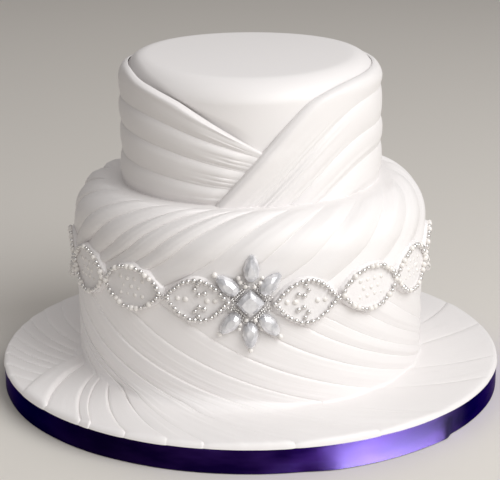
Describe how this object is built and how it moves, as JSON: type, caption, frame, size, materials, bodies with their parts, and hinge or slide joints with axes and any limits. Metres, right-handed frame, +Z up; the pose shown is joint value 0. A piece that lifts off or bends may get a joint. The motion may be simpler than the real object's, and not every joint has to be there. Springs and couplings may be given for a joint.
{
  "type": "tiered wedding cake",
  "caption": "White tiered wedding cake draped and pleated like a gown, with a beaded belt and jewelled brooch, on a round iced board edged with purple satin ribbon.",
  "frame": {"origin": "centre of the board's underside, on the table", "axes": "+Z up, -Y towards the front with the brooch, +X to the viewer's right"},
  "size_m": [0.306, 0.307, 0.203],
  "materials": {
    "sugar_icing": "smooth white sugar paste, softly matte",
    "plaque_icing": "warm white sugar paste plaques edged with silver and pearl beads",
    "board_foil": "embossed silver foil paper",
    "purple_satin": "deep purple satin ribbon, glossy",
    "pearl_crystal": "faceted pale lilac crystal with a pearly foil back"
  },
  "bodies": {
    "root": {"board_drum": "board_foil", "board_icing": "sugar_icing", "board_strips_front": "sugar_icing", "board_strips_side": "sugar_icing", "lower_tier": "sugar_icing", "skirt_drape": "sugar_icing", "bodice_drape": "sugar_icing", "upper_tier": "sugar_icing", "neckline_drape_right": "sugar_icing", "neckline_drape_left": "sugar_icing", "ribbon": "purple_satin", "belt_leaf_01": "plaque_icing", "belt_leaf_02": "plaque_icing", "belt_leaf_03": "plaque_icing", "belt_leaf_04": "plaque_icing", "belt_leaf_05": "plaque_icing", "belt_leaf_06": "plaque_icing", "belt_leaf_07": "plaque_icing", "belt_leaf_08": "plaque_icing", "belt_leaf_09": "plaque_icing", "belt_leaf_10": "plaque_icing", "belt_leaf_11": "plaque_icing", "belt_leaf_12": "plaque_icing", "belt_leaf_13": "plaque_icing", "belt_leaf_14": "plaque_icing", "belt_leaf_15": "plaque_icing", "belt_leaf_16": "plaque_icing", "stone_square": "pearl_crystal", "stone_top": "pearl_crystal", "stone_upper_left": "pearl_crystal", "stone_lower_left": "pearl_crystal", "stone_bottom": "pearl_crystal", "stone_lower_right": "pearl_crystal", "stone_upper_right": "pearl_crystal"}
  },
  "joints": []
}
